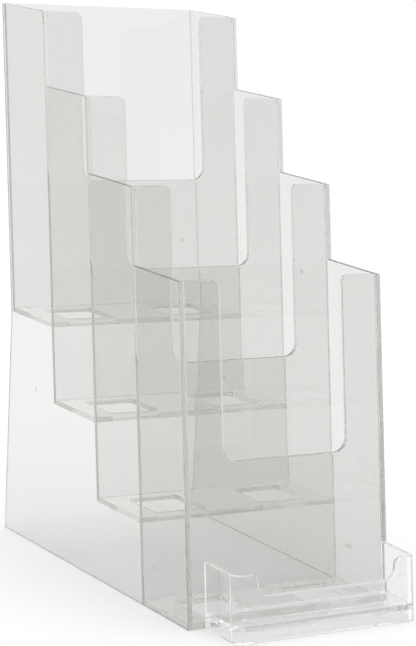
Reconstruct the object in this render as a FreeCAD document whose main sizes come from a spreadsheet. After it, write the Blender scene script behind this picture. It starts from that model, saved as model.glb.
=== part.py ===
"""Clear four-tier leaflet rack with a business-card tray, in millimetres.

The rack stands on z = 0, with the origin under the middle of its overall box.  X runs across
it and Y runs from the front to the back.  Every upright panel leans back by the same angle, so
its faces follow  y = foot + tan(lean) * z.  Two stepped side panels are outermost, and the
upright panels and pocket floors are cemented between them, edge to face.
"""
import FreeCAD, Part
import os
import Sketcher

# Driving dimensions: alias -> (value, what it is).
SIZES = {
    "rack_width": (118.0, "overall width across the side panels"),
    "wall": (2.5, "thickness of every sheet of the rack"),
    "lean": (11.0, "backward lean of the upright panels, degrees"),
    "tier_pitch": (40.0, "front to back distance from one upright panel to the next"),
    "floor_rise": (38.0, "step up from one pocket floor to the next"),
    "front_rim": (159.5, "height of the front panel's rim"),
    "rim_rise": (37.0, "step up from one panel's rim to the next"),
    "skirt_depth": (177.0, "ground length of a side panel"),
    "cut_width": (72.0, "width of the hand cut-out in a panel"),
    "cut_depth": (84.0, "depth of the hand cut-out below the rim"),
    "cut_corner": (7.0, "radius at the bottom of the hand cut-out"),
    "flap_corner": (3.5, "radius where the rim turns down into the cut-out"),
    "window_width": (27.5, "width of a window in a pocket floor"),
    "window_depth": (25.0, "front to back length of a window"),
    "window_spread": (60.0, "distance between the two windows' centres"),
    "window_corner": (2.0, "corner radius of a window"),
    "tray_width": (107.0, "overall width of the card tray"),
    "tray_depth": (26.0, "front to back length of the card tray"),
    "tray_height": (31.0, "height of the card tray's corners"),
    "tray_offset": (1.5, "how far the card tray's right end is in from the rack's right face"),
    "tray_wall": (2.5, "wall thickness of the card tray"),
    "tray_floor": (7.5, "height of the surface that the cards stand on"),
    "tray_dip": (10.0, "depth of the dip in the card tray's front"),
    "tray_dip_width": (80.0, "width of the dip in the card tray's front"),
    "tray_dip_corner": (6.5, "radius at the bottom of the dip"),
    "tray_corner": (6.0, "radius of the card tray's upright front corners"),
    "tray_lip_corner": (4.5, "radius where the tray's lip turns down into the dip"),
}
TIERS = 4

doc = FreeCAD.newDocument("leaflet_rack")
sheet = doc.addObject("Spreadsheet::Sheet", "sizes")
for row, (alias, (value, note)) in enumerate(SIZES.items(), start=1):
    sheet.set(f"A{row}", note)
    sheet.set(f"B{row}", str(value))
    sheet.setAlias(f"B{row}", alias)
doc.recompute()


def size(alias):
    """The number in one cell of the sheet."""
    return float(sheet.get(alias))


# Lengths that several pieces share, as expressions on the sheet.
SLOPE = "tan(sizes.lean * 1 deg)"
SLANT_WALL = "sizes.wall / cos(sizes.lean * 1 deg)"
SLANT_TRAY_WALL = "sizes.tray_wall / cos(sizes.lean * 1 deg)"
INNER_WIDTH = "(sizes.rack_width - 2 * sizes.wall)"
TRAY_LIP = "((sizes.tray_width - sizes.tray_dip_width) / 2)"  # raised lip at each end of the dip
TRAY_CORNER = f"min(sizes.tray_corner; 0.6 * {TRAY_LIP})"


def rim_height(wall_index):
    """Height of an upright panel's rim; the back panel's is the last divider's."""
    return f"(sizes.front_rim + sizes.rim_rise * {min(wall_index, TIERS - 1)})"


def floor_height(tier):
    """Height of a pocket floor's underside, with tier 0 on the ground."""
    return f"(sizes.floor_rise * {tier})"


def front_face(wall_index, height):
    """Distance of an upright panel's front face behind the front line, at a height."""
    return f"sizes.tier_pitch * {wall_index} + {SLOPE} * {height}"


def rear_face(wall_index, height):
    return f"{front_face(wall_index, height)} + {SLANT_WALL}"


# Y of the front line, where the front panel's outer face meets the ground.
FRONT_LINE = f"((sizes.tray_depth - ({rear_face(TIERS, rim_height(TIERS))})) / 2)"


def new_body(label):
    body = doc.addObject("PartDesign::Body", label)
    body.Label = label
    return body


def outline(body, plane, name, corners):
    """A closed outline on one of the body's origin planes, each corner bound to the sheet."""
    sketch = body.newObject("Sketcher::SketchObject", name)
    support = next(item for item in body.Origin.OriginFeatures if item.Role == plane)
    sketch.AttachmentSupport = (support, "")
    sketch.MapMode = "FlatFace"
    places = [[float(sketch.evalExpression(text)) for text in corner] for corner in corners]
    count = len(places)
    for index, (across, up) in enumerate(places):
        next_across, next_up = places[(index + 1) % count]
        start = FreeCAD.Vector(across, up, 0)
        end = FreeCAD.Vector(next_across, next_up, 0)
        sketch.addGeometry(Part.LineSegment(start, end), False)
    for index in range(count):
        sketch.addConstraint(Sketcher.Constraint("Coincident", index, 2, (index + 1) % count, 1))
    for index, corner in enumerate(corners):
        for axis, text, value in zip("XY", corner, places[index]):
            rule = Sketcher.Constraint(f"Distance{axis}", -1, 1, index, 1, value)
            number = sketch.addConstraint(rule)
            sketch.setExpression(f"Constraints[{number}]", text)
    doc.recompute()
    return sketch


def box_corners(left, right, low, high):
    return [(left, low), (right, low), (right, high), (left, high)]


def slanted(front, back, low, high):
    """Corners of a strip between two heights whose front and back faces lean like the panels."""
    return [
        (f"{front} + {SLOPE} * {low}", low),
        (f"{back} + {SLOPE} * {low}", low),
        (f"{back} + {SLOPE} * {high}", high),
        (f"{front} + {SLOPE} * {high}", high),
    ]


def pad(body, sketch, name, length, side="Symmetric"):
    feature = body.newObject("PartDesign::Pad", name)
    feature.Profile = sketch
    feature.SideType = side
    feature.setExpression("Length", length)
    doc.recompute()
    return feature


def pocket(body, sketch, name, length):
    """Cut the outline out, equally to both sides of its plane, and check that it cut."""
    before = body.Shape.Volume
    feature = body.newObject("PartDesign::Pocket", name)
    feature.Profile = sketch
    feature.SideType = "Symmetric"
    feature.setExpression("Length", length)
    doc.recompute()
    if not feature.Shape.Volume < before - 1.0:
        raise RuntimeError(f"{body.Label}: {name} cuts nothing")
    return feature


def round_edges(body, name, radius, wanted, count):
    """Fillet the edges whose midpoint and direction pass a test."""
    base = body.Tip
    chosen = []
    for index, edge in enumerate(base.Shape.Edges, start=1):
        if isinstance(edge.Curve, Part.Line):
            middle = edge.valueAt((edge.FirstParameter + edge.LastParameter) / 2)
            if wanted(middle, edge.Curve.Direction):
                chosen.append(f"Edge{index}")
    if len(chosen) != count:
        raise RuntimeError(f"{body.Label}: {name} found {len(chosen)} edges, not {count}")
    feature = body.newObject("PartDesign::Fillet", name)
    feature.Base = (base, chosen)
    feature.setExpression("Radius", radius)
    doc.recompute()
    return feature


def near(value, target):
    return abs(value - target) < 0.01


def place(body, x="0", y="0", z="0"):
    """Bind a body's place, with y counted from the front line."""
    body.setExpression("Placement.Base.x", x)
    body.setExpression("Placement.Base.y", f"{FRONT_LINE} + {y}")
    body.setExpression("Placement.Base.z", z)


def side_panel(label, left_face):
    """Stepped side: a level rim on each pocket, and a skirt down to the ground behind."""
    top = rim_height(TIERS)
    last_floor = floor_height(TIERS - 1)
    corners = [("0", "0"), ("sizes.skirt_depth", "0")]
    corners.append((rear_face(TIERS, last_floor), last_floor))
    corners.append((rear_face(TIERS, top), top))
    for tier in reversed(range(TIERS)):
        rim = rim_height(tier)
        if tier < TIERS - 1:
            corners.append((front_face(tier + 1, rim), rim))
        corners.append((front_face(tier, rim), rim))
    body = new_body(label)
    profile = outline(body, "YZ_Plane", f"{label}_outline", corners)
    pad(body, profile, f"{label}_sheet", "sizes.wall", side="One side")
    place(body, x=left_face)


def cut_out(body, label, rim, reach):
    """Hand cut-out in an upright panel, open at the rim, with every corner rounded."""
    half = "sizes.cut_width / 2"
    low = f"{rim} - sizes.cut_depth"
    corners = box_corners(f"-{half}", half, low, f"{rim} + sizes.wall")
    profile = outline(body, "XZ_Plane", f"{label}_cut_outline", corners)
    pocket(body, profile, f"{label}_cut", reach)
    rim_z = float(profile.evalExpression(rim))
    low_z = float(profile.evalExpression(low))

    def at_edge(middle, way, height):
        side = near(abs(middle.x), size("cut_width") / 2)
        return side and near(middle.z, height) and near(abs(way.y), 1)

    round_edges(body, f"{label}_cut_corners", "sizes.cut_corner",
                lambda middle, way: at_edge(middle, way, low_z), 2)
    round_edges(body, f"{label}_flap_corners", "sizes.flap_corner",
                lambda middle, way: at_edge(middle, way, rim_z), 2)


def upright_panel(label, index, has_cut=True):
    """A leaning panel from the pocket floor in front of it up to its own rim."""
    foot = floor_height(max(index - 1, 0))
    rise = f"({rim_height(index)} - {foot})"
    body = new_body(label)
    corners = slanted("0", SLANT_WALL, "0", rise)
    profile = outline(body, "YZ_Plane", f"{label}_outline", corners)
    pad(body, profile, f"{label}_sheet", INNER_WIDTH)
    if has_cut:
        cut_out(body, label, rise, f"4 * sizes.tier_pitch + 2 * {rise}")
    place(body, y=front_face(index, foot), z=foot)


def pocket_floor(label, tier):
    """A level floor between two upright panels, with two windows."""
    body = new_body(label)
    corners = slanted(SLANT_WALL, "sizes.tier_pitch", "0", "sizes.wall")
    profile = outline(body, "YZ_Plane", f"{label}_outline", corners)
    pad(body, profile, f"{label}_sheet", INNER_WIDTH)
    middle_y = f"(sizes.tier_pitch + {SLANT_WALL} + {SLOPE} * sizes.wall) / 2"
    front = f"{middle_y} - sizes.window_depth / 2"
    back = f"{middle_y} + sizes.window_depth / 2"
    for side, sign in (("left", -1), ("right", 1)):
        middle_x = f"{sign} * sizes.window_spread / 2"
        corners = box_corners(f"{middle_x} - sizes.window_width / 2",
                              f"{middle_x} + sizes.window_width / 2", front, back)
        window = outline(body, "XY_Plane", f"{label}_{side}_outline", corners)
        pocket(body, window, f"{label}_{side}_window", "4 * sizes.wall")
    inner_edge = (size("window_spread") - size("window_width")) / 2
    outer_edge = (size("window_spread") + size("window_width")) / 2

    def at_window(middle, way):
        beside = near(abs(middle.x), inner_edge) or near(abs(middle.x), outer_edge)
        return beside and near(abs(way.z), 1)

    round_edges(body, f"{label}_window_corners", "sizes.window_corner", at_window, 8)
    place(body, y=front_face(tier, floor_height(tier)), z=floor_height(tier))


def card_tray():
    """Card tray: two side walls, a dipped front and a hollow base, cemented to the front panel."""
    body = new_body("card_tray")
    inside = "(sizes.tray_width - 2 * sizes.tray_wall)"
    front = "-sizes.tray_depth"
    inner_front = f"({front} + {SLANT_TRAY_WALL})"
    top = "sizes.tray_height"
    block = outline(body, "YZ_Plane", "tray_outline", slanted(front, "0", "0", top))
    pad(body, block, "tray_block", "sizes.tray_width")

    def front_corner(middle, way):
        leaning = near(way.x, 0) and abs(way.z) > 0.5
        in_front = middle.y < -size("tray_depth") / 2
        return leaning and in_front and near(abs(middle.x), size("tray_width") / 2)

    round_edges(body, "tray_front_corners", TRAY_CORNER, front_corner, 2)
    above = f"({top} + sizes.tray_wall)"
    slot = slanted(inner_front, "sizes.tray_wall", "sizes.tray_floor", above)
    pocket(body, outline(body, "YZ_Plane", "tray_slot_outline", slot), "tray_slot", inside)
    ceiling = "(sizes.tray_floor - sizes.tray_wall)"
    hollow = slanted(inner_front, f"(-{SLANT_TRAY_WALL})", "0", ceiling)
    pocket(body, outline(body, "YZ_Plane", "tray_hollow_outline", hollow), "tray_hollow", inside)

    def inner_corner(middle, way):
        leaning = near(way.x, 0) and abs(way.z) > 0.5
        in_front = middle.y < -size("tray_depth") / 2
        return leaning and in_front and near(abs(middle.x), size("tray_width") / 2 - size("tray_wall"))

    round_edges(body, "tray_inner_corners", f"max({TRAY_CORNER} - sizes.tray_wall; 0.5)",
                inner_corner, 4)
    half = "sizes.tray_dip_width / 2"
    dip_low = f"{top} - sizes.tray_dip"
    dip = outline(body, "XZ_Plane", "tray_dip_outline", box_corners(f"-{half}", half, dip_low, above))
    pocket(body, dip, "tray_dip", "4 * sizes.tray_depth")
    low_z = size("tray_height") - size("tray_dip")

    def at_dip(middle, way, height):
        side = near(abs(middle.x), size("tray_dip_width") / 2)
        return side and near(middle.z, height) and near(abs(way.y), 1)

    round_edges(body, "tray_dip_corners", "min(sizes.tray_dip_corner; 0.58 * sizes.tray_dip)",
                lambda middle, way: at_dip(middle, way, low_z), 2)
    round_edges(body, "tray_lip_corners",
                f"min(sizes.tray_lip_corner; 0.4 * sizes.tray_dip; 0.3 * {TRAY_LIP})",
                lambda middle, way: at_dip(middle, way, size("tray_height")), 2)
    place(body, x="sizes.rack_width / 2 - sizes.tray_offset - sizes.tray_width / 2")


side_panel("left_side_panel", "-sizes.rack_width / 2")
side_panel("right_side_panel", "sizes.rack_width / 2 - sizes.wall")
upright_panel("front_panel", 0)
for divider in range(1, TIERS):
    upright_panel(f"divider_panel_{divider}", divider)
upright_panel("back_panel", TIERS, has_cut=False)
for tier in range(TIERS):
    pocket_floor(f"pocket_floor_{tier + 1}", tier)
card_tray()
doc.recompute()

for item in doc.Objects:
    if "Invalid" in item.State or "Error" in item.State:
        raise RuntimeError(f"{item.Label} failed to build")

os.makedirs("parts", exist_ok=True)
for body in doc.findObjects("PartDesign::Body"):
    if body.Shape.isNull() or not body.Shape.isValid() or len(body.Shape.Solids) != 1:
        raise RuntimeError(f"{body.Label} is not one valid solid")
    body.Shape.exportStep(f"parts/{body.Label}.step")
    bounds = body.Shape.BoundBox
    print(f"{body.Label}: {bounds.XMin:.1f}..{bounds.XMax:.1f}, {bounds.YMin:.1f}..{bounds.YMax:.1f}, "
          f"{bounds.ZMin:.1f}..{bounds.ZMax:.1f}, volume {body.Shape.Volume:.0f}")
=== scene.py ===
"""Looks of the clear leaflet rack: polished sheets, floors, card tray and a plain white studio.

Run as a script it dresses the loaded frame; it is laid out as an add-on so that its sizes and
colours can be read and changed in one place.
"""
import math

import bmesh
import bpy
from mathutils import Matrix, Vector


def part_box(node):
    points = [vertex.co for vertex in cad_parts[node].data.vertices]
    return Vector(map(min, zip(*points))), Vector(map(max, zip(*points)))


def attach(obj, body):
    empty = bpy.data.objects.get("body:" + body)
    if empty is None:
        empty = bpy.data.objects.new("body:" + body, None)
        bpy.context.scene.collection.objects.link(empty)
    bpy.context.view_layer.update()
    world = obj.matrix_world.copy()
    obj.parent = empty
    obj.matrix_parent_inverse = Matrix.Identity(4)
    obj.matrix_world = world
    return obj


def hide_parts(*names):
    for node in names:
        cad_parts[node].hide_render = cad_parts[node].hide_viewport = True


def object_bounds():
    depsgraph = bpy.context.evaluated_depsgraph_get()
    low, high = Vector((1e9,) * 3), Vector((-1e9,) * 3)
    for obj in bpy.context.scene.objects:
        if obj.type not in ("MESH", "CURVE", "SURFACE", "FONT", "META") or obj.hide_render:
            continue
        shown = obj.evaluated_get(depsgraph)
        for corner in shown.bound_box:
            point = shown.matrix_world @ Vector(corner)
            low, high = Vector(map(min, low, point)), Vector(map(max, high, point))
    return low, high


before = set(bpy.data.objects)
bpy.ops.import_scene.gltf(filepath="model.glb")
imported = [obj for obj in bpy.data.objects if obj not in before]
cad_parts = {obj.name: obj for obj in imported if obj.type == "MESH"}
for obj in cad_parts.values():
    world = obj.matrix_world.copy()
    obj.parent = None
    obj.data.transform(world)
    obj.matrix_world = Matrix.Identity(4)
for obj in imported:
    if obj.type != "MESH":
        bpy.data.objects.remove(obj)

CAD_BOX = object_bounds()
MM = 0.001

# The rack's own sizes.
LEAN = 11.0  # degrees that the upright panels lean back
TIER_PITCH = 40 * MM
SHEET = 2.5 * MM

# Round moulding marks on the sheets.
MARK_RADIUS, MARK_HEIGHT = 1.3 * MM, 0.2 * MM
MARK_PROUD = 0.11 * MM  # a mark's middle above its sheet, so that it just clears it
MARK_TAPER = 0.6  # its top radius over its bottom radius
MARK_FACETS = 32
SIDE_MARKS = ((156, 79), (93, 149), (35, 20))  # mm behind the front line, mm up
UPRIGHT_MARKS = {  # panels back from the front one, mm to the right, mm up
    "front_panel": ((0, 36, 30), (0, -50, 79)),
    "divider_panel_3": ((3, 21, 156),),
}

# The row of short ribs behind the cards.
RIB_COUNT, RIB_PITCH = 8, 5.2 * MM
RIB_SIZE = (2.6 * MM, 1.0 * MM, 0.5 * MM)
RIB_MIDDLE, RIB_UP = 6.5 * MM, 14.7 * MM
RIB_ROUND = 0.2 * MM

# Angles in degrees that sort a mesh's edges, and how far apart doubled corners may be.
FLAT_ANGLE, SHARP_ANGLE, SMOOTH_ANGLE = 0.5, 30, 35
DOUBLES = 0.001 * MM

# Plastics.
ACRYLIC_IOR, POLYSTYRENE_IOR = 1.49, 1.59
# The pocket floors' weaker take-up is painted reflection, standing in for the light they reflect
# when seen at a grazing angle.
# The standing sheets' grey and their strong take-up are partly painted shade: besides the acrylic's
# faint grey they stand in for the dimmer surroundings that real sheets reflect, and they darken the
# lines along the sheets' edges.
SHEET_DENSITY, FLOOR_DENSITY, TRAY_DENSITY = 6.0, 2.5, 1.5  # how strongly each takes up light
ABSORBED = "C8C7C2"
WAVE_HEIGHT = 0.003 * MM  # cast sheet is flat to a few thousandths of a millimetre
ACRYLIC_RIPPLE, ACRYLIC_SCUFF = 28 * MM, 1.5 * MM
TRAY_RIPPLE, TRAY_SCUFF = 12 * MM, 1.0 * MM
SCUFF_FROM, SCUFF_FULL = 0.45, 0.75  # the part of the fine noise that dulls the gloss
MOST_ROUGH = 0.03

# Studio.
WORLD_LEVEL = 0.75  # plain light from all round on matt surfaces; the lamps add the rest
FLOOR_LIFT = 0.54  # brings the lit floor up to white where it is seen
FLOOR_SIZE = 30.0
FLOOR_DROP = 0.05 * MM  # keeps the floor's face clear of the rack's feet
SUN_PLACE, SUN_ANGLE, SUN_POWER = (0.2, 0.4, 1.6), 28, 0.6
BOX_OUT, BOX_UP, BOX_SIZE, BOX_POWER = 1.5, 1.0, (0.3, 1.0), 2.6
CAMERA_PLACE = (-0.6572, -0.9588, 0.35225)
CAMERA_TURN = (34.55, 11.09, 4.67)  # azimuth, pitch down and roll, degrees
CAMERA_LENS, CAMERA_SENSOR = 131.88, 36.0
CAMERA_CLIP = (0.01, 100.0)
LIGHT_BOUNCES = 96  # light runs a long way inside a sheet before it leaves by an edge
SEE_THROUGH_BOUNCES = 16

bl_info = {
    "name": "Clear Leaflet Rack",
    "version": (1, 0, 0),
    "blender": (4, 5, 0),
    "location": "3D View > Sidebar > Leaflet Rack",
    "description": "Dresses the clear leaflet rack, its card tray and its studio",
    "category": "Object",
}

SIDES = ("left_side_panel", "right_side_panel")
UPRIGHTS = ("front_panel", "divider_panel_1", "divider_panel_2", "divider_panel_3", "back_panel")
FLOORS = ("pocket_floor_1", "pocket_floor_2", "pocket_floor_3", "pocket_floor_4")


def linear(hex_colour):
    """An sRGB hex colour as linear RGB."""
    parts = [int(hex_colour[start:start + 2], 16) / 255 for start in (0, 2, 4)]
    return tuple(c / 12.92 if c <= 0.04045 else ((c + 0.055) / 1.055) ** 2.4 for c in parts)


class LeafletRackSizes(bpy.types.PropertyGroup):
    edge_round: bpy.props.FloatProperty(
        name="Edge round", description="Radius of the polished sheet edges",
        default=0.5 * MM, unit="LENGTH")
    edge_steps: bpy.props.IntProperty(
        name="Edge steps", description="Facets across each rounded edge", default=3)
    facet_area: bpy.props.FloatProperty(
        name="Facet area", description="Faces smaller than this belong to a rounded corner",
        default=4.0 * MM * MM, unit="AREA")
    cement_gap: bpy.props.FloatProperty(
        name="Cement gap", description="Thickness left for the cement film at each joint",
        default=0.04 * MM, unit="LENGTH")


class LeafletRackColours(bpy.types.PropertyGroup):
    # The sheet tint is partly the acrylic's own faint grey and partly painted shade, standing in
    # for the dimmer surroundings that real sheets reflect.
    sheet_tint_and_shade: bpy.props.FloatVectorProperty(
        name="Sheet tint", description="Faint warm grey of the clear sheet",
        default=linear("EDEDEC"), subtype="COLOR")
    # The pocket floors' paler tint is painted reflection: the same acrylic made lighter to stand in
    # for the light the floors reflect when seen at a grazing angle.
    floor_tint_and_reflection: bpy.props.FloatVectorProperty(
        name="Floor tint", description="Fainter grey of the pocket floors",
        default=linear("F8F8F7"), subtype="COLOR")
    tray_tint: bpy.props.FloatVectorProperty(
        name="Tray tint", description="Faint grey of the clear tray",
        default=linear("FAFAFA"), subtype="COLOR")
    studio_white: bpy.props.FloatVectorProperty(
        name="Studio white", description="Floor paint", default=linear("BCBCBC"),
        subtype="COLOR")


def add_node(tree, kind, settings=None, **links):
    """Add a node, set its sockets and properties, and link the sockets named in links."""
    node = tree.nodes.new(kind)
    for name, value in (settings or {}).items():
        if name in node.inputs:
            node.inputs[name].default_value = value
        else:
            setattr(node, name, value)
    for name, source in links.items():
        tree.links.new(source, node.inputs[name.replace("_", " ")])
    return node


def clear_plastic(name, tint, ior, density, ripple, scuff):
    """Clear glossy plastic: ripple and scuff are the sizes of its waves and of its fine rubbing."""
    material = bpy.data.materials.new(name)
    material.use_nodes = True
    tree = material.node_tree
    tree.nodes.clear()
    place = add_node(tree, "ShaderNodeTexCoord")
    waves = add_node(tree, "ShaderNodeTexNoise", {"Scale": 1 / ripple, "Detail": 2.0},
                     Vector=place.outputs["Object"])
    bump = add_node(tree, "ShaderNodeBump", {"Strength": 1.0, "Distance": WAVE_HEIGHT},
                    Height=waves.outputs["Fac"])
    rubbing = add_node(tree, "ShaderNodeTexNoise", {"Scale": 1 / scuff, "Detail": 4.0},
                       Vector=place.outputs["Object"])
    dull = add_node(tree, "ShaderNodeMapRange", {
        "From Min": SCUFF_FROM, "From Max": SCUFF_FULL, "To Min": 0.0, "To Max": MOST_ROUGH},
        Value=rubbing.outputs["Fac"])
    shader = add_node(tree, "ShaderNodeBsdfPrincipled", {
        "Base Color": (*tint, 1), "IOR": ior, "Transmission Weight": 1.0},
        Normal=bump.outputs["Normal"], Roughness=dull.outputs["Result"])
    volume = add_node(tree, "ShaderNodeVolumeAbsorption", {
        "Color": (*linear(ABSORBED), 1), "Density": density})
    add_node(tree, "ShaderNodeOutputMaterial", Surface=shader.outputs[0], Volume=volume.outputs[0])
    return material


def on_upright(index, across, height, proud):
    """Where a point on the outer face of an upright panel is, counted from the front panel."""
    lean = math.radians(LEAN)
    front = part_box("front_panel")[0].y + index * TIER_PITCH + math.tan(lean) * height
    out = Vector((0, -math.cos(lean), math.sin(lean)))
    turn = out.to_track_quat("Z", "Y").to_matrix().to_4x4()
    return Matrix.Translation(Vector((across, front, height)) + out * proud) @ turn


def on_side(sign, behind, height, proud):
    """Where a point on the inner face of a side panel is, counted back from the front line."""
    face = sign * (CAD_BOX[1].x - SHEET)
    out = Vector((-sign, 0, 0))
    turn = out.to_track_quat("Z", "Y").to_matrix().to_4x4()
    place = Vector((face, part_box("front_panel")[0].y + behind, height))
    return Matrix.Translation(place + out * proud) @ turn


def polished_copy(node, name, material, gap=(0, 0, 0), marks=()):
    """A copy of a CAD node with its facets joined, its edges rounded and room for the cement."""
    sizes = bpy.context.scene.rack_sizes
    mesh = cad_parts[node].data.copy()
    mesh.name = name
    work = bmesh.new()
    work.from_mesh(mesh)
    bmesh.ops.remove_doubles(work, verts=work.verts, dist=DOUBLES)
    bmesh.ops.dissolve_limit(work, angle_limit=math.radians(FLAT_ANGLE), verts=work.verts,
                             edges=work.edges)
    low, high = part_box(node)
    middle = (low + high) / 2
    scale = Vector(1 - 2 * room / (top - bottom) for room, bottom, top in zip(gap, low, high))
    bmesh.ops.scale(work, verts=work.verts, vec=scale, space=Matrix.Translation(-middle))
    edges = [edge for edge in work.edges if edge.calc_face_angle(0) > math.radians(SHARP_ANGLE)]
    bmesh.ops.bevel(work, geom=edges, offset=sizes.edge_round, offset_type="OFFSET",
                    segments=sizes.edge_steps, profile=0.5, affect="EDGES", clamp_overlap=True,
                    material=-1)
    for place in marks:
        bmesh.ops.create_cone(work, cap_ends=True, segments=MARK_FACETS, radius1=MARK_RADIUS,
                              radius2=MARK_TAPER * MARK_RADIUS, depth=MARK_HEIGHT, matrix=place)
    for face in work.faces:
        face.smooth = face.calc_area() < sizes.facet_area
    for edge in work.edges:
        curved = all(face.smooth for face in edge.link_faces)
        edge.smooth = curved and edge.calc_face_angle(0) < math.radians(SMOOTH_ANGLE)
    work.to_mesh(mesh)
    work.free()
    mesh.materials.clear()
    mesh.materials.append(material)
    piece = bpy.data.objects.new(name, mesh)
    bpy.context.scene.collection.objects.link(piece)
    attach(piece, "root")
    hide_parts(node)
    return piece


def sheet_material():
    """The acrylic of the standing sheets, made once."""
    # Cast acrylic: clear on its faces, greyer through several sheets, with long flat waves from the
    # casting and hardly any rubbing. Its grey is partly the acrylic's own and partly painted shade,
    # standing in for the dimmer surroundings that real sheets reflect.
    name = "cast acrylic, polished, tint with painted shade"
    tint = bpy.context.scene.rack_colours.sheet_tint_and_shade
    return bpy.data.materials.get(name) or clear_plastic(
        name, tint, ACRYLIC_IOR, SHEET_DENSITY, ACRYLIC_RIPPLE, ACRYLIC_SCUFF)


class RACK_OT_side_panels(bpy.types.Operator):
    """Polish the two stepped side panels"""
    bl_idname = "rack.side_panels"
    bl_label = "Side Panels"

    def execute(self, context):
        for node, sign in zip(SIDES, (-1, 1)):
            marks = [on_side(sign, behind * MM, height * MM, MARK_PROUD)
                     for behind, height in SIDE_MARKS]
            polished_copy(node, f"{node}_sheet", sheet_material(), marks=marks)
        return {"FINISHED"}


class RACK_OT_upright_panels(bpy.types.Operator):
    """Polish the front panel, the dividers and the back panel"""
    bl_idname = "rack.upright_panels"
    bl_label = "Upright Panels"

    def execute(self, context):
        gap = context.scene.rack_sizes.cement_gap
        for node in UPRIGHTS:
            marks = [on_upright(index, across * MM, height * MM, MARK_PROUD)
                     for index, across, height in UPRIGHT_MARKS.get(node, ())]
            polished_copy(node, f"{node}_sheet", sheet_material(), (gap, 0, 0), marks)
        return {"FINISHED"}


class RACK_OT_pocket_floors(bpy.types.Operator):
    """Polish the windowed floors of the four pockets"""
    bl_idname = "rack.pocket_floors"
    bl_label = "Pocket Floors"

    def execute(self, context):
        gap = context.scene.rack_sizes.cement_gap
        # Cast acrylic again, in a paler tint and with a weaker take-up than the standing sheets:
        # painted reflection, standing in for the light the floors reflect when seen at a grazing
        # angle.
        paler = clear_plastic("cast acrylic, pale for painted reflection", context.scene.rack_colours.floor_tint_and_reflection,
                              ACRYLIC_IOR, FLOOR_DENSITY, ACRYLIC_RIPPLE, ACRYLIC_SCUFF)
        for node in FLOORS:
            polished_copy(node, f"{node}_sheet", paler, (gap, gap, 0))
        return {"FINISHED"}


class RACK_OT_card_tray(bpy.types.Operator):
    """Polish the card tray"""
    bl_idname = "rack.card_tray"
    bl_label = "Card Tray"

    def execute(self, context):
        sizes, colours = context.scene.rack_sizes, context.scene.rack_colours
        # Injection moulded polystyrene: brighter in its edges than acrylic, with shorter waves
        # where the melt flowed.
        plastic = clear_plastic("crystal polystyrene, moulded", colours.tray_tint,
                                POLYSTYRENE_IOR, TRAY_DENSITY, TRAY_RIPPLE, TRAY_SCUFF)
        polished_copy("card_tray", "card_tray_shell", plastic,
                      (0, sizes.cement_gap, 0))
        return {"FINISHED"}


class RACK_OT_card_ribs(bpy.types.Operator):
    """Raise the row of short ribs behind the cards, which keeps them from clinging to the panel"""
    bl_idname = "rack.card_ribs"
    bl_label = "Card Ribs"

    def execute(self, context):
        work = bmesh.new()
        for number in range(RIB_COUNT):
            across = RIB_MIDDLE + (number - (RIB_COUNT - 1) / 2) * RIB_PITCH
            proud = RIB_SIZE[2] / 2 + context.scene.rack_sizes.cement_gap
            place = on_upright(0, across, RIB_UP, proud)
            bmesh.ops.create_cube(work, size=1.0, matrix=place @ Matrix.Diagonal((*RIB_SIZE, 1)))
        bmesh.ops.bevel(work, geom=work.edges[:], offset=RIB_ROUND, offset_type="OFFSET",
                        segments=3, profile=0.5, affect="EDGES", clamp_overlap=True, material=-1)
        for face in work.faces:
            face.smooth = True
        mesh = bpy.data.meshes.new("card_ribs")
        work.to_mesh(mesh)
        work.free()
        mesh.materials.append(sheet_material())
        ribs = bpy.data.objects.new("card_ribs", mesh)
        context.scene.collection.objects.link(ribs)
        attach(ribs, "root")
        return {"FINISHED"}


def seen_white(tree):
    """1 for the rays that show the surroundings: to the camera, in gloss and through plastic."""
    path = add_node(tree, "ShaderNodeLightPath")
    seen = path.outputs["Is Camera Ray"]
    for kind in ("Is Glossy Ray", "Is Transmission Ray"):
        either = add_node(tree, "ShaderNodeMath", {"operation": "MAXIMUM"})
        tree.links.new(seen, either.inputs[0])
        tree.links.new(path.outputs[kind], either.inputs[1])
        seen = either.outputs[0]
    return seen


def lamp(name, kind, place, aim, **settings):
    """A lamp facing a point, with its size and power in settings."""
    data = bpy.data.lights.new(name, kind)
    for key, value in settings.items():
        setattr(data, key, value)
    item = bpy.data.objects.new(name, data)
    item.location = place
    item.rotation_euler = (Vector(aim) - Vector(place)).to_track_quat("-Z", "Y").to_euler()
    bpy.context.scene.collection.objects.link(item)


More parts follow.
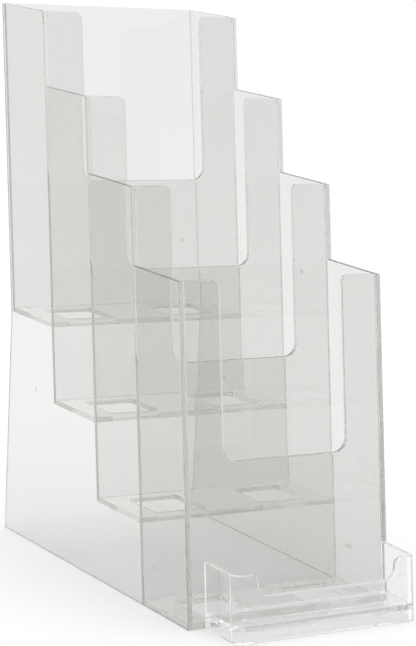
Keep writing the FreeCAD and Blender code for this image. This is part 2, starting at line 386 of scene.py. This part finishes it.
class RACK_OT_studio(bpy.types.Operator):
    """Set up the white floor, the soft light, the surroundings and the camera"""
    bl_idname = "rack.studio"
    bl_label = "Studio"

    def execute(self, context):
        scene = context.scene
        white = scene.rack_colours.studio_white

        floor_mesh = bpy.data.meshes.new("studio_floor")
        work = bmesh.new()
        bmesh.ops.create_grid(work, x_segments=1, y_segments=1, size=FLOOR_SIZE)
        work.to_mesh(floor_mesh)
        work.free()
        floor = bpy.data.objects.new("studio_floor", floor_mesh)
        floor_mesh.transform(Matrix.Translation((0, 0, -FLOOR_DROP)))
        scene.collection.objects.link(floor)
        material = bpy.data.materials.new("studio floor, matt white paint")
        material.use_nodes = True
        tree = material.node_tree
        tree.nodes.clear()
        lift = add_node(tree, "ShaderNodeMath", {"operation": "MULTIPLY"})
        tree.links.new(seen_white(tree), lift.inputs[0])
        lift.inputs[1].default_value = FLOOR_LIFT
        paint = add_node(tree, "ShaderNodeBsdfDiffuse", {"Color": (*white, 1)})
        glow = add_node(tree, "ShaderNodeEmission", Strength=lift.outputs[0])
        both = add_node(tree, "ShaderNodeAddShader")
        tree.links.new(paint.outputs[0], both.inputs[0])
        tree.links.new(glow.outputs[0], both.inputs[1])
        add_node(tree, "ShaderNodeOutputMaterial", Surface=both.outputs[0])
        floor_mesh.materials.append(material)

        world = bpy.data.worlds.new("studio")
        world.use_nodes = True
        tree = world.node_tree
        tree.nodes.clear()
        level = add_node(tree, "ShaderNodeMapRange", {"To Min": WORLD_LEVEL, "To Max": 1.0},
                         Value=seen_white(tree))
        sky = add_node(tree, "ShaderNodeBackground", {"Color": (1, 1, 1, 1)},
                       Strength=level.outputs["Result"])
        add_node(tree, "ShaderNodeOutputWorld", Surface=sky.outputs[0])
        scene.world = world

        middle = (CAD_BOX[0] + CAD_BOX[1]) / 2
        lamp("overhead_light", "SUN", SUN_PLACE, middle, angle=math.radians(SUN_ANGLE),
             energy=SUN_POWER)
        for name, across in (("left_softbox", -BOX_OUT), ("right_softbox", BOX_OUT)):
            lamp(name, "AREA", (across, 0.0, BOX_UP), middle, shape="RECTANGLE",
                 size=BOX_SIZE[0], size_y=BOX_SIZE[1], energy=BOX_POWER)

        data = bpy.data.cameras.new("camera")
        data.sensor_width = CAMERA_SENSOR
        data.lens = CAMERA_LENS
        data.clip_start, data.clip_end = CAMERA_CLIP
        camera = bpy.data.objects.new("camera", data)
        azimuth, pitch, roll = (math.radians(angle) for angle in CAMERA_TURN)
        camera.location = CAMERA_PLACE
        ahead = Vector((math.sin(azimuth) * math.cos(pitch), math.cos(azimuth) * math.cos(pitch),
                        -math.sin(pitch)))
        turn = ahead.to_track_quat("-Z", "Y").to_matrix() @ Matrix.Rotation(roll, 3, "Z")
        camera.rotation_euler = turn.to_euler()
        scene.collection.objects.link(camera)
        scene.camera = camera

        scene.view_settings.view_transform = "Standard"
        scene.cycles.max_bounces = LIGHT_BOUNCES
        scene.cycles.transmission_bounces = LIGHT_BOUNCES
        scene.cycles.glossy_bounces = LIGHT_BOUNCES
        scene.cycles.transparent_max_bounces = SEE_THROUGH_BOUNCES
        return {"FINISHED"}


class RACK_PT_panel(bpy.types.Panel):
    """The rack's operators and sizes"""
    bl_label = "Leaflet Rack"
    bl_idname = "RACK_PT_panel"
    bl_space_type = "VIEW_3D"
    bl_region_type = "UI"
    bl_category = "Leaflet Rack"

    def draw(self, context):
        for group in (context.scene.rack_sizes, context.scene.rack_colours):
            for name in group.bl_rna.properties.keys():
                if name not in ("rna_type", "name"):
                    self.layout.prop(group, name)
        for operator in OPERATORS:
            self.layout.operator(operator.bl_idname)


OPERATORS = (RACK_OT_side_panels, RACK_OT_upright_panels, RACK_OT_pocket_floors,
             RACK_OT_card_tray, RACK_OT_card_ribs, RACK_OT_studio)
CLASSES = (LeafletRackSizes, LeafletRackColours, *OPERATORS, RACK_PT_panel)


def register():
    for item in CLASSES:
        bpy.utils.register_class(item)
    bpy.types.Scene.rack_sizes = bpy.props.PointerProperty(type=LeafletRackSizes)
    bpy.types.Scene.rack_colours = bpy.props.PointerProperty(type=LeafletRackColours)


def unregister():
    del bpy.types.Scene.rack_colours
    del bpy.types.Scene.rack_sizes
    for item in reversed(CLASSES):
        bpy.utils.unregister_class(item)


def main():
    register()
    bpy.ops.rack.side_panels()
    bpy.ops.rack.upright_panels()
    bpy.ops.rack.pocket_floors()
    bpy.ops.rack.card_tray()
    bpy.ops.rack.card_ribs()
    bpy.ops.rack.studio()


if __name__ == "__main__":
    main()
